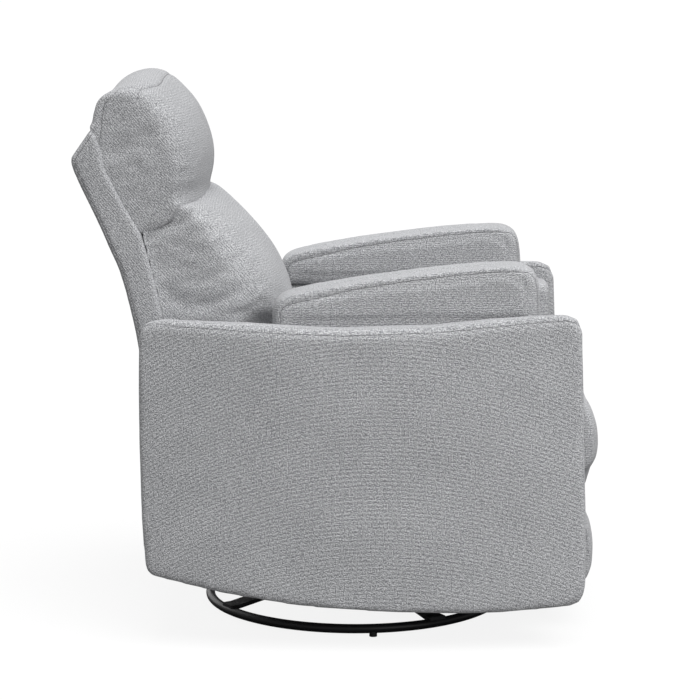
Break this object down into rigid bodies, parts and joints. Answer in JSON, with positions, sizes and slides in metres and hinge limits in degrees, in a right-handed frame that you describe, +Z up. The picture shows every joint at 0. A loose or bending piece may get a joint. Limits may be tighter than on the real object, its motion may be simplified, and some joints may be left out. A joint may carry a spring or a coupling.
{
  "type": "swivel glider recliner",
  "caption": "Upholstered armchair on a floor ring that swivels, glides level on swing links, reclines and puts out a linkage footrest; arm pads, barrel side panels, head and body cushions.",
  "frame": {"origin": "on the floor, in the middle of the footprint; the swivel axis stands 32 mm in front of it", "axes": "+Z up, -Y towards the front of the chair, +X towards the sitter's left"},
  "size_m": [0.8, 1.0014, 1.053],
  "materials": {
    "upholstery": "heathered light grey chenille tweed",
    "black_steel": "black powder coat",
    "mechanism_steel": "satin black lacquer",
    "bare_steel": "zinc plated",
    "timber": "raw hardwood and plywood",
    "webbing": "woven elastic webbing",
    "plastic": "moulded black"
  },
  "bodies": {
    "base": {"floor_ring": "black_steel", "base_cross": "black_steel", "floor_glides": "plastic", "lower_race": "bare_steel", "thrust_washer": "plastic", "king_bolt": "bare_steel"},
    "turntable": {"upper_race": "bare_steel", "swivel_frame": "mechanism_steel"},
    "front_swing_links": {"glide_link_front_left": "mechanism_steel", "glide_link_front_right": "mechanism_steel"},
    "rear_swing_links": {"glide_link_rear_left": "mechanism_steel", "glide_link_rear_right": "mechanism_steel"},
    "carriage": {"side_plate_left": "mechanism_steel", "side_plate_right": "mechanism_steel", "rail_strip_left": "mechanism_steel", "rail_strip_right": "mechanism_steel", "front_tube": "mechanism_steel", "rear_tube": "mechanism_steel", "seat_front_rail": "timber", "seat_rear_rail": "timber", "seat_side_rail_left": "timber", "seat_side_rail_right": "timber", "seat_springs": "bare_steel", "seat_cushion": "upholstery", "arm_frame_left": "timber", "arm_frame_right": "timber", "arm_cover_left": "upholstery", "arm_cover_right": "upholstery", "arm_panel_left": "upholstery", "arm_panel_right": "upholstery", "arm_pad_left": "upholstery", "arm_pad_right": "upholstery", "handle_bezel": "plastic", "carriage_bolts": "bare_steel"},
    "footrest_rear_links": {"footrest_rear_link_left": "mechanism_steel", "footrest_rear_link_right": "mechanism_steel"},
    "footrest_cross_links": {"footrest_cross_link_left": "mechanism_steel", "footrest_cross_link_right": "mechanism_steel"},
    "footrest_short_links": {"footrest_short_link_left": "mechanism_steel", "footrest_short_link_right": "mechanism_steel"},
    "footrest": {"footrest_arm_left": "mechanism_steel", "footrest_arm_right": "mechanism_steel", "footrest_board": "timber", "footrest_pad": "upholstery"},
    "back": {"back_bracket_left": "mechanism_steel", "back_bracket_right": "mechanism_steel", "back_frame": "timber", "back_webbing": "webbing", "back_shell": "upholstery", "back_flap": "upholstery", "torso_cushion": "upholstery", "head_cushion": "upholstery"},
    "release_handle": {"release_handle": "plastic"}
  },
  "joints": [
    {"name": "swivel", "type": "hinge", "parent": "base", "child": "turntable", "pos_m": [0, -0.032, 0.074], "axis": [0, 0, 1], "continuous": true},
    {"name": "glide", "type": "hinge", "parent": "turntable", "child": "rear_swing_links", "pos_m": [0, 0.078, 0.222], "axis": [-1, 0, 0], "range_deg": [-24, 24]},
    {"name": "front_link_swing", "type": "hinge", "parent": "turntable", "child": "front_swing_links", "pos_m": [0, -0.142, 0.222], "axis": [-1, 0, 0], "range_deg": [-25, 25]},
    {"name": "carriage_level", "type": "hinge", "parent": "rear_swing_links", "child": "carriage", "pos_m": [0, 0.078, 0.102], "axis": [1, 0, 0], "range_deg": [-25, 25]},
    {"name": "recline", "type": "hinge", "parent": "carriage", "child": "back", "pos_m": [0, 0.338, 0.4], "axis": [-1, 0, 0], "range_deg": [0, 35]},
    {"name": "footrest_link_swing", "type": "hinge", "parent": "carriage", "child": "footrest_rear_links", "pos_m": [0, -0.322, 0.125], "axis": [-1, 0, 0], "range_deg": [-26.01, 0]},
    {"name": "footrest_extend", "type": "hinge", "parent": "footrest_rear_links", "child": "footrest", "pos_m": [0, -0.3615, 0.31085], "axis": [-1, 0, 0], "range_deg": [0, 112]},
    {"name": "footrest_cross_swing", "type": "hinge", "parent": "footrest_rear_links", "child": "footrest_cross_links", "pos_m": [0, -0.34175, 0.21792], "axis": [-1, 0, 0], "range_deg": [0, 112.01]},
    {"name": "footrest_short_swing", "type": "hinge", "parent": "footrest_cross_links", "child": "footrest_short_links", "pos_m": [0, -0.3615, 0.125], "axis": [-1, 0, 0], "range_deg": [-112.01, 0]},
    {"name": "release", "type": "hinge", "parent": "carriage", "child": "release_handle", "pos_m": [-0.256, -0.247, 0.548], "axis": [-1, 0, 0], "range_deg": [0, 25], "stiffness_Nm_per_rad": 0.5, "springref_deg": -20.05}
  ],
  "couplings": [
    {"joint": "carriage_level", "follows": "glide", "ratio": 1},
    {"joint": "front_link_swing", "follows": "glide", "ratio": 1},
    {"joint": "footrest_link_swing", "follows": "footrest_extend", "ratio": -0.23214},
    {"joint": "footrest_cross_swing", "follows": "footrest_extend", "ratio": 1},
    {"joint": "footrest_short_swing", "follows": "footrest_extend", "ratio": -1}
  ]
}
